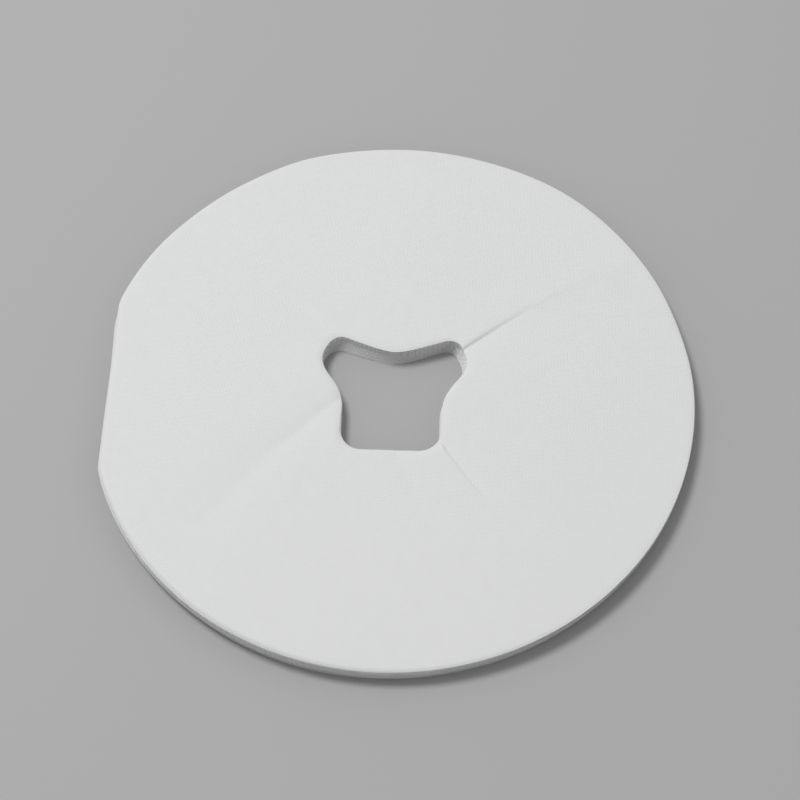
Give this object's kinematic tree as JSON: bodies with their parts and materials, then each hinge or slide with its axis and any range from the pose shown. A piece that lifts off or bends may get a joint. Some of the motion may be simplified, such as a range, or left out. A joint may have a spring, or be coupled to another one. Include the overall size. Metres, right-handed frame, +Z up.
{
  "type": "face cradle cover",
  "caption": "Pile of disposable non-woven face cradle covers: thin loose discs with one straight side and a shaped face opening in the middle.",
  "frame": {"origin": "middle of the pile's footprint, on the surface it lies on", "axes": "+Z up through the pile; the covers' straight side faces -X, and the brow of the face opening is towards +Y"},
  "size_m": [0.285, 0.2912, 0.0109],
  "materials": {
    "non_woven": "matte, point-bonded"
  },
  "bodies": {
    "lower_pile": {"cover_01": "non_woven", "cover_02": "non_woven", "cover_03": "non_woven", "cover_04": "non_woven", "cover_05": "non_woven", "cover_06": "non_woven", "cover_07": "non_woven", "cover_08": "non_woven", "cover_09": "non_woven", "cover_10": "non_woven", "cover_11": "non_woven", "cover_12": "non_woven", "cover_13": "non_woven", "cover_14": "non_woven", "cover_15": "non_woven", "cover_16": "non_woven", "cover_17": "non_woven", "cover_18": "non_woven", "cover_19": "non_woven", "cover_20": "non_woven", "cover_21": "non_woven", "cover_22": "non_woven", "cover_23": "non_woven", "cover_24": "non_woven", "cover_25": "non_woven", "cover_26": "non_woven", "cover_27": "non_woven", "cover_28": "non_woven", "cover_29": "non_woven", "cover_30": "non_woven"},
    "upper_pile": {"cover_31": "non_woven", "cover_32": "non_woven", "cover_33": "non_woven", "cover_34": "non_woven", "cover_35": "non_woven", "cover_36": "non_woven", "cover_37": "non_woven", "cover_38": "non_woven", "cover_39": "non_woven", "cover_40": "non_woven", "cover_41": "non_woven", "cover_42": "non_woven", "cover_43": "non_woven", "cover_44": "non_woven"},
    "loose_cover_45": {"cover_45": "non_woven"},
    "loose_cover_46": {"cover_46": "non_woven"},
    "loose_cover_47": {"cover_47": "non_woven"},
    "loose_cover_48": {"cover_48": "non_woven"},
    "loose_cover_49": {"cover_49": "non_woven"},
    "loose_cover_50": {"cover_50": "non_woven"}
  },
  "joints": [
    {"name": "upper_pile_lift", "type": "slide", "parent": "lower_pile", "child": "upper_pile", "axis": [0, 0, 1], "range_m": [0, 0.03]},
    {"name": "cover_45_lift", "type": "slide", "parent": "upper_pile", "child": "loose_cover_45", "axis": [0, 0, 1], "range_m": [0, 0.03]},
    {"name": "cover_46_lift", "type": "slide", "parent": "loose_cover_45", "child": "loose_cover_46", "axis": [0, 0, 1], "range_m": [0, 0.03]},
    {"name": "cover_47_lift", "type": "slide", "parent": "loose_cover_46", "child": "loose_cover_47", "axis": [0, 0, 1], "range_m": [0, 0.03]},
    {"name": "cover_48_lift", "type": "slide", "parent": "loose_cover_47", "child": "loose_cover_48", "axis": [0, 0, 1], "range_m": [0, 0.03]},
    {"name": "cover_49_lift", "type": "slide", "parent": "loose_cover_48", "child": "loose_cover_49", "axis": [0, 0, 1], "range_m": [0, 0.03]},
    {"name": "cover_50_lift", "type": "slide", "parent": "loose_cover_49", "child": "loose_cover_50", "axis": [0, 0, 1], "range_m": [0, 0.03]}
  ]
}
